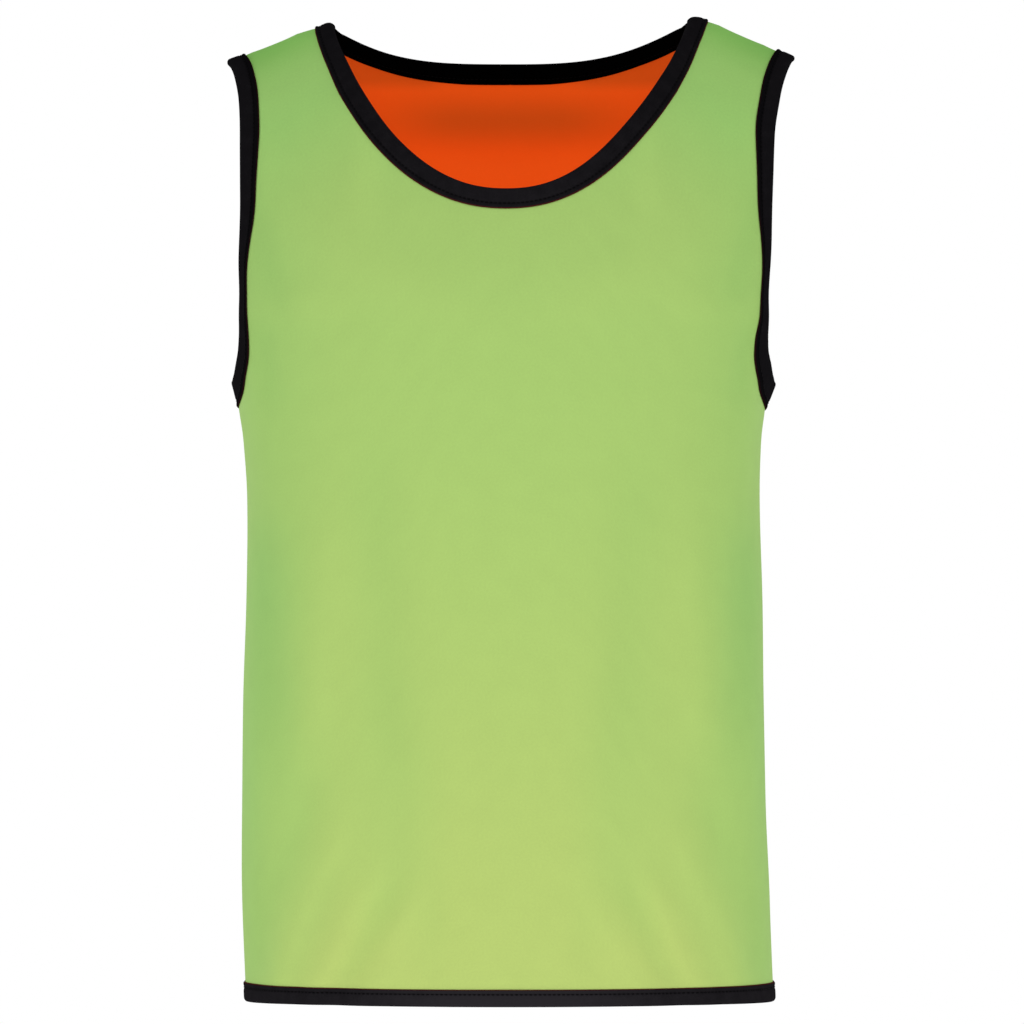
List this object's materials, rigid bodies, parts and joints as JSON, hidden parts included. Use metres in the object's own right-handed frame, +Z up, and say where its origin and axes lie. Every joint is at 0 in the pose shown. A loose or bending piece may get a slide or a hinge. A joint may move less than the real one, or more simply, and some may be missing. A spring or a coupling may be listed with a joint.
{
  "type": "reversible rugby bib",
  "caption": "Sleeveless reversible sports bib in its worn shape, with a lime green outside, an orange inside and black binding on neck, armholes and hem.",
  "frame": {"origin": "midway between the two shoulder seams, at the height where they meet the neck, where the wearer's shoulders carry the bib", "axes": "+X to the right as seen from the front, -Y out of the front, +Z up"},
  "size_m": [0.4063, 0.2334, 0.7012],
  "materials": {
    "lime_knit": "fine lime green polyester knit with a slight satin sheen",
    "orange_knit": "fine bright orange polyester knit, matt",
    "black_tape": "soft black knit binding tape with one row of black lockstitch"
  },
  "bodies": {
    "root": {"front_outer": "lime_knit", "back_outer": "lime_knit", "front_inner": "orange_knit", "back_inner": "orange_knit", "neck_binding": "black_tape", "armhole_binding_left": "black_tape", "armhole_binding_right": "black_tape", "hem_binding": "black_tape"}
  },
  "joints": []
}
